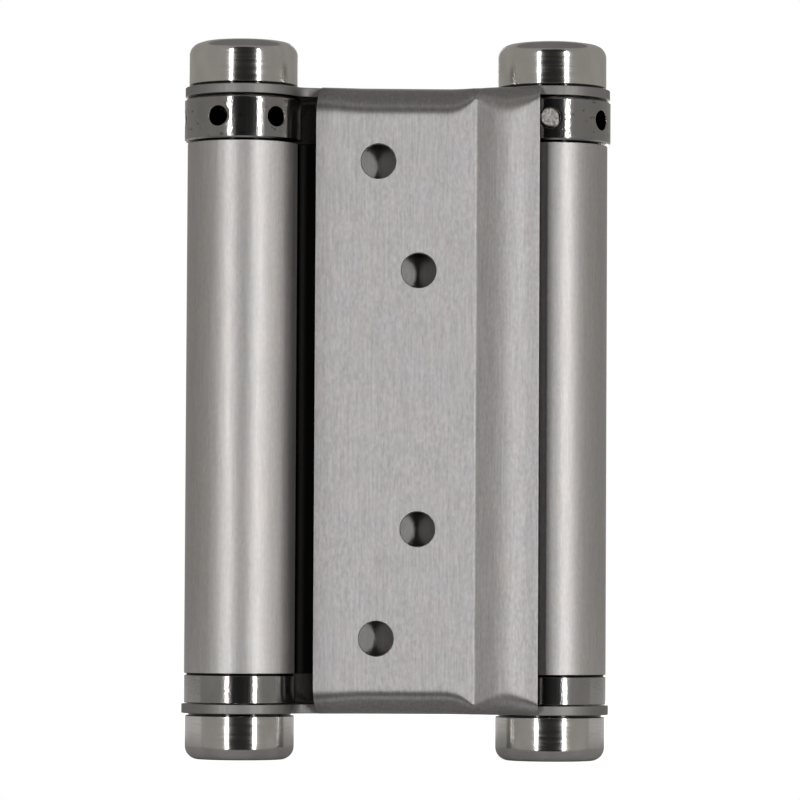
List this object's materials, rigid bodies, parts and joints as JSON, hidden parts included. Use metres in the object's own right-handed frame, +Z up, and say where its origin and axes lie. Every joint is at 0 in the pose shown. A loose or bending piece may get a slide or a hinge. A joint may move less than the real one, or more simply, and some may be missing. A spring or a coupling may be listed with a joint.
{
  "type": "double action spring hinge",
  "caption": "Double action spring hinge: twin barrels on a web with a folded flange on each, so a cafe door swings both ways and returns to its middle.",
  "frame": {"origin": "middle of the hinge, half way between the barrel axes and half way up the flanges", "axes": "+Z up along the barrels, +X from the left barrel to the right one, +Y from the front flange to the rear flange; the front flange faces -Y"},
  "size_m": [0.0684, 0.0224, 0.1146],
  "materials": {
    "flange_steel": "sheet brushed along the barrels",
    "barrel_steel": "satin, brushed along the tubes",
    "collar_steel": "turned and polished",
    "cap_steel": "polished",
    "pin_steel": "drawn wire and rod",
    "spring_steel": "oiled spring wire"
  },
  "bodies": {
    "rear_leaf": {"rear_flange": "flange_steel", "left_pintle": "pin_steel", "left_top_cap": "cap_steel", "left_bottom_cap": "cap_steel"},
    "barrels": {"double_barrel": "barrel_steel", "left_bottom_plug": "collar_steel", "right_bottom_plug": "collar_steel", "left_spring": "spring_steel", "right_spring": "spring_steel"},
    "front_leaf": {"front_flange": "flange_steel", "right_pintle": "pin_steel", "right_top_cap": "cap_steel", "right_bottom_cap": "cap_steel"},
    "left_collar": {"left_adjusting_collar": "collar_steel", "left_stop_pin": "pin_steel"},
    "right_collar": {"right_adjusting_collar": "collar_steel", "right_stop_pin": "pin_steel"}
  },
  "joints": [
    {"name": "left_swing", "type": "hinge", "parent": "rear_leaf", "child": "barrels", "pos_m": [-0.0248, 0, 0], "axis": [0, 0, -1], "range_deg": [0, 180], "stiffness_Nm_per_rad": 0.41, "deforming": ["left_spring"]},
    {"name": "right_swing", "type": "hinge", "parent": "barrels", "child": "front_leaf", "pos_m": [0.0248, 0, 0], "axis": [0, 0, 1], "range_deg": [0, 180], "stiffness_Nm_per_rad": 0.41, "springref_deg": -28.65, "deforming": ["right_spring"]},
    {"name": "left_tension", "type": "hinge", "parent": "rear_leaf", "child": "left_collar", "pos_m": [-0.0248, 0, 0], "axis": [0, 0, 1], "range_deg": [-40, 60], "stiffness_Nm_per_rad": 0.41, "deforming": ["left_spring"]},
    {"name": "right_tension", "type": "hinge", "parent": "front_leaf", "child": "right_collar", "pos_m": [0.0248, 0, 0], "axis": [0, 0, 1], "range_deg": [0, 120], "stiffness_Nm_per_rad": 0.41, "springref_deg": -28.65, "deforming": ["right_spring"]}
  ]
}
